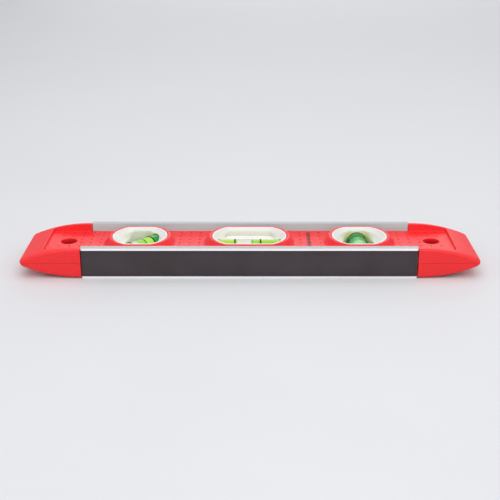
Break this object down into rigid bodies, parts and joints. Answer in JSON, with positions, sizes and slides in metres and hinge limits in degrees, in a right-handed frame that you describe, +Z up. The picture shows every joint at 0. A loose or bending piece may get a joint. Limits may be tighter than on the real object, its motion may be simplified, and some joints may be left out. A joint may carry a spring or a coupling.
{
  "type": "torpedo spirit level",
  "caption": "Short magnetic spirit level with boat-shaped ends, aluminium edge rails and level, plumb and 45 degree vials in white housings.",
  "frame": {"origin": "middle of the underside of the bounding box, under the level's centre as it lies on its side", "axes": "+X along the level towards the plumb vial, +Y across to the plain top edge, -Y to the magnetic base edge, +Z up out of the front face"},
  "size_m": [0.23, 0.0414, 0.016],
  "materials": {
    "body_red": "injection-moulded red plastic, semi-gloss",
    "rail_aluminium": "satin extruded aluminium with milled edges",
    "magnet_strip": "matte dark brown flexible magnet sheet",
    "magnet_adhesive": "thin adhesive tape",
    "housing_white": "smooth white plastic",
    "vial_acrylic": "clear polished acrylic",
    "vial_plug": "clear acrylic end plug",
    "vial_liquid": "yellow-green level fluid",
    "vial_bubble": "air bubble",
    "ring_ink": "black reading line"
  },
  "bodies": {
    "level_body": {"front_shell": "body_red", "back_shell": "body_red", "base_rail": "rail_aluminium", "top_rail": "rail_aluminium", "magnet_strip": "magnet_strip", "magnet_adhesive": "magnet_adhesive", "slant_vial_housing": "housing_white", "slant_vial_tube": "vial_acrylic", "slant_vial_plug": "vial_plug", "slant_vial_liquid": "vial_liquid", "slant_vial_ring_a": "ring_ink", "slant_vial_ring_b": "ring_ink", "level_vial_housing": "housing_white", "level_vial_tube": "vial_acrylic", "level_vial_plug": "vial_plug", "level_vial_liquid": "vial_liquid", "level_vial_ring_a": "ring_ink", "level_vial_ring_b": "ring_ink", "plumb_vial_housing": "housing_white", "plumb_vial_tube": "vial_acrylic", "plumb_vial_plug": "vial_plug", "plumb_vial_liquid": "vial_liquid", "plumb_vial_ring_a": "ring_ink", "plumb_vial_ring_b": "ring_ink"},
    "slant_vial_bubble": {"slant_vial_bubble": "vial_bubble"},
    "level_vial_bubble": {"level_vial_bubble": "vial_bubble"},
    "plumb_vial_bubble": {"plumb_vial_bubble": "vial_bubble"}
  },
  "joints": [
    {"name": "level_bubble_slide", "type": "slide", "parent": "level_body", "child": "level_vial_bubble", "axis": [1, 0, 0], "range_m": [-0.0094, 0.012], "stiffness_N_per_m": 2, "springref_m": 0.0013, "deforming": ["level_vial_liquid"]},
    {"name": "slant_bubble_slide", "type": "slide", "parent": "level_body", "child": "slant_vial_bubble", "axis": [0.7071, 0.7071, 0], "range_m": [-0.0059, 0.0087], "stiffness_N_per_m": 2, "springref_m": 0.0014, "deforming": ["slant_vial_liquid"]},
    {"name": "plumb_bubble_slide", "type": "slide", "parent": "level_body", "child": "plumb_vial_bubble", "axis": [0, 1, 0], "range_m": [-0.0039, 0.0107], "stiffness_N_per_m": 2, "springref_m": 0.0034, "deforming": ["plumb_vial_liquid"]}
  ]
}
